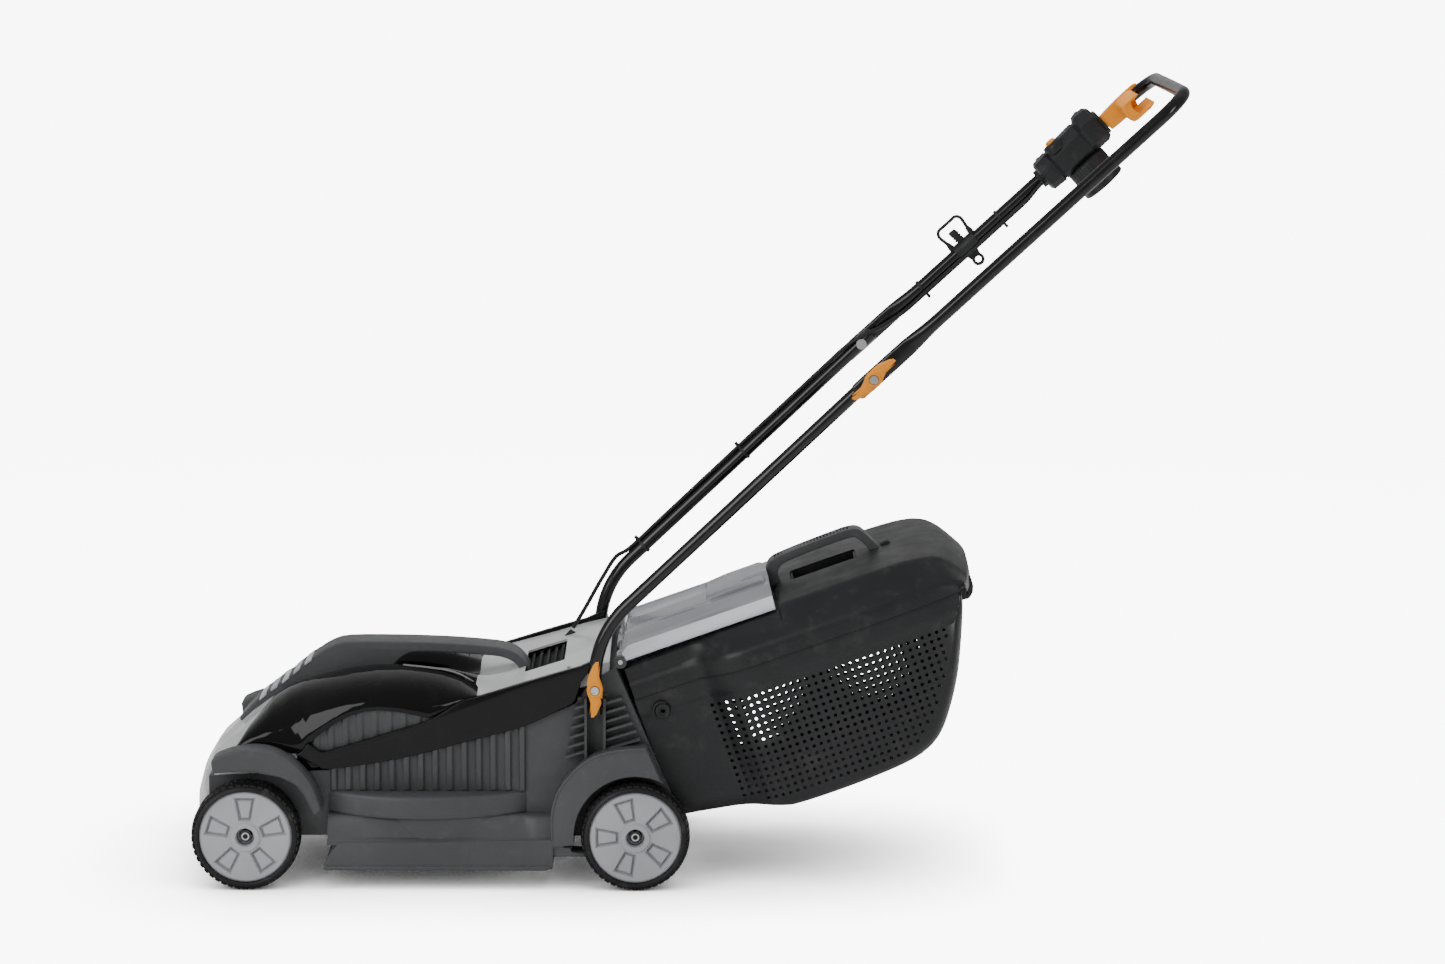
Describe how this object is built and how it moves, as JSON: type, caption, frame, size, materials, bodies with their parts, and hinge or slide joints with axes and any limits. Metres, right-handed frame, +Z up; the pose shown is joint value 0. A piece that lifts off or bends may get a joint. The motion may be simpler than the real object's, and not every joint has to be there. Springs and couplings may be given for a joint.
{
  "type": "push lawn mower",
  "caption": "Walk-behind electric rotary lawn mower on four wheels, with a folding tubular handle, start lever, hinged rear flap and rigid grass catcher.",
  "frame": {"origin": "on the floor under the middle of the overall length, on the mid-plane", "axes": "+X towards the operator, +Y to the operator's right, +Z up"},
  "size_m": [1.2654, 0.392, 1.0279],
  "materials": {
    "chassis_plastic": "fine grained",
    "silver_plastic": "satin",
    "black_gloss": "high gloss",
    "catcher_plastic": "fine grained",
    "switch_plastic": "fine grained",
    "orange_plastic": "satin",
    "flap_plastic": "smoked translucent",
    "tube_paint": "gloss powder coat",
    "zinc_steel": "zinc plated",
    "blade_steel": "painted with ground edges",
    "motor_plastic": "satin",
    "wheel_plastic": "satin",
    "cap_plastic": "satin",
    "cable_rubber": "satin",
    "brass_pins": "bright"
  },
  "bodies": {
    "chassis": {"deck_shell": "chassis_plastic", "side_skirts": "chassis_plastic", "mudguards": "chassis_plastic", "handle_sockets": "chassis_plastic", "top_cover": "silver_plastic", "side_panel_left": "black_gloss", "side_panel_right": "black_gloss", "carry_handle": "chassis_plastic", "front_louvre": "silver_plastic", "motor_can": "zinc_steel", "motor_end_cap": "motor_plastic", "motor_bearing": "zinc_steel", "deck_screws": "zinc_steel", "lower_tube_left": "tube_paint", "lower_tube_right": "tube_paint", "lower_handle_bolts": "zinc_steel", "flap_rod": "zinc_steel", "flap_spring": "zinc_steel", "cable_gland": "switch_plastic", "lower_cable": "cable_rubber", "lower_cable_ties": "switch_plastic"},
    "front_axle": {"front_axle": "zinc_steel", "front_axle_nuts": "zinc_steel"},
    "rear_axle": {"rear_axle": "zinc_steel", "rear_axle_nuts": "zinc_steel"},
    "front_left_wheel": {"front_left_wheel": "wheel_plastic", "front_left_cap": "cap_plastic"},
    "front_right_wheel": {"front_right_wheel": "wheel_plastic", "front_right_cap": "cap_plastic"},
    "rear_left_wheel": {"rear_left_wheel": "wheel_plastic", "rear_left_cap": "cap_plastic"},
    "rear_right_wheel": {"rear_right_wheel": "wheel_plastic", "rear_right_cap": "cap_plastic"},
    "spindle": {"motor_shaft": "zinc_steel", "blade_fan": "motor_plastic", "blade": "blade_steel", "blade_bolt": "zinc_steel"},
    "lower_wing_nut_left": {"lower_wing_nut_left": "orange_plastic"},
    "lower_wing_nut_right": {"lower_wing_nut_right": "orange_plastic"},
    "upper_wing_nut_left": {"upper_wing_nut_left": "orange_plastic"},
    "upper_wing_nut_right": {"upper_wing_nut_right": "orange_plastic"},
    "upper_handle": {"upper_handle": "tube_paint", "switch_box_base": "switch_plastic", "switch_box_cover": "switch_plastic", "switch_box_screws": "zinc_steel", "switch_unit": "switch_plastic", "inlet_shroud": "switch_plastic", "inlet_pins": "brass_pins", "cord_hook": "switch_plastic", "upper_cable": "cable_rubber", "upper_cable_ties": "switch_plastic", "upper_handle_bolts": "zinc_steel", "switch_springs": "zinc_steel"},
    "start_lever": {"start_lever": "orange_plastic"},
    "safety_button": {"safety_button": "orange_plastic"},
    "rear_flap": {"rear_flap": "flap_plastic"},
    "catcher": {"catcher_lower": "catcher_plastic", "catcher_upper": "catcher_plastic", "catcher_handle": "chassis_plastic", "catcher_catches": "catcher_plastic"}
  },
  "joints": [
    {"name": "front_height", "type": "slide", "parent": "chassis", "child": "front_axle", "axis": [0, 0, 1], "range_m": [-0.03, 0]},
    {"name": "rear_height", "type": "slide", "parent": "chassis", "child": "rear_axle", "axis": [0, 0, 1], "range_m": [-0.03, 0]},
    {"name": "front_left_spin", "type": "hinge", "parent": "front_axle", "child": "front_left_wheel", "pos_m": [-0.5577, -0.176, 0.07], "axis": [0, 1, 0], "continuous": true},
    {"name": "front_right_spin", "type": "hinge", "parent": "front_axle", "child": "front_right_wheel", "pos_m": [-0.5577, 0.176, 0.07], "axis": [0, 1, 0], "continuous": true},
    {"name": "rear_left_spin", "type": "hinge", "parent": "rear_axle", "child": "rear_left_wheel", "pos_m": [-0.0597, -0.176, 0.07], "axis": [0, 1, 0], "continuous": true},
    {"name": "rear_right_spin", "type": "hinge", "parent": "rear_axle", "child": "rear_right_wheel", "pos_m": [-0.0597, 0.176, 0.07], "axis": [0, 1, 0], "continuous": true},
    {"name": "blade_spin", "type": "hinge", "parent": "chassis", "child": "spindle", "pos_m": [-0.3127, 0, 0.05], "axis": [0, 0, 1], "continuous": true},
    {"name": "handle_fold", "type": "hinge", "parent": "chassis", "child": "upper_handle", "pos_m": [0.2383, 0, 0.662], "axis": [0, -1, 0], "range_deg": [0, 160]},
    {"name": "lower_left_nut_turn", "type": "hinge", "parent": "chassis", "child": "lower_wing_nut_left", "pos_m": [-0.1117, -0.177, 0.26], "axis": [0, 1, 0], "continuous": true},
    {"name": "lower_right_nut_turn", "type": "hinge", "parent": "chassis", "child": "lower_wing_nut_right", "pos_m": [-0.1117, 0.177, 0.26], "axis": [0, 1, 0], "continuous": true},
    {"name": "upper_left_nut_turn", "type": "hinge", "parent": "upper_handle", "child": "upper_wing_nut_left", "pos_m": [0.2383, -0.188, 0.662], "axis": [0, 1, 0], "continuous": true},
    {"name": "upper_right_nut_turn", "type": "hinge", "parent": "upper_handle", "child": "upper_wing_nut_right", "pos_m": [0.2383, 0.188, 0.662], "axis": [0, 1, 0], "continuous": true},
    {"name": "lever_pull", "type": "slide", "parent": "upper_handle", "child": "start_lever", "axis": [0.7337, 0, 0.6794], "range_m": [0, 0.018], "stiffness_N_per_m": 350, "springref_m": -0.012},
    {"name": "button_press", "type": "slide", "parent": "upper_handle", "child": "safety_button", "axis": [0.6794, 0, -0.7337], "range_m": [0, 0.004], "stiffness_N_per_m": 500, "springref_m": -0.004},
    {"name": "flap_lift", "type": "hinge", "parent": "chassis", "child": "rear_flap", "pos_m": [-0.0797, 0, 0.29], "axis": [0, -1, 0], "range_deg": [0, 60]},
    {"name": "catcher_out", "type": "slide", "parent": "chassis", "child": "catcher", "axis": [0.9421, 0, 0.3355], "range_m": [0, 0.45]}
  ]
}
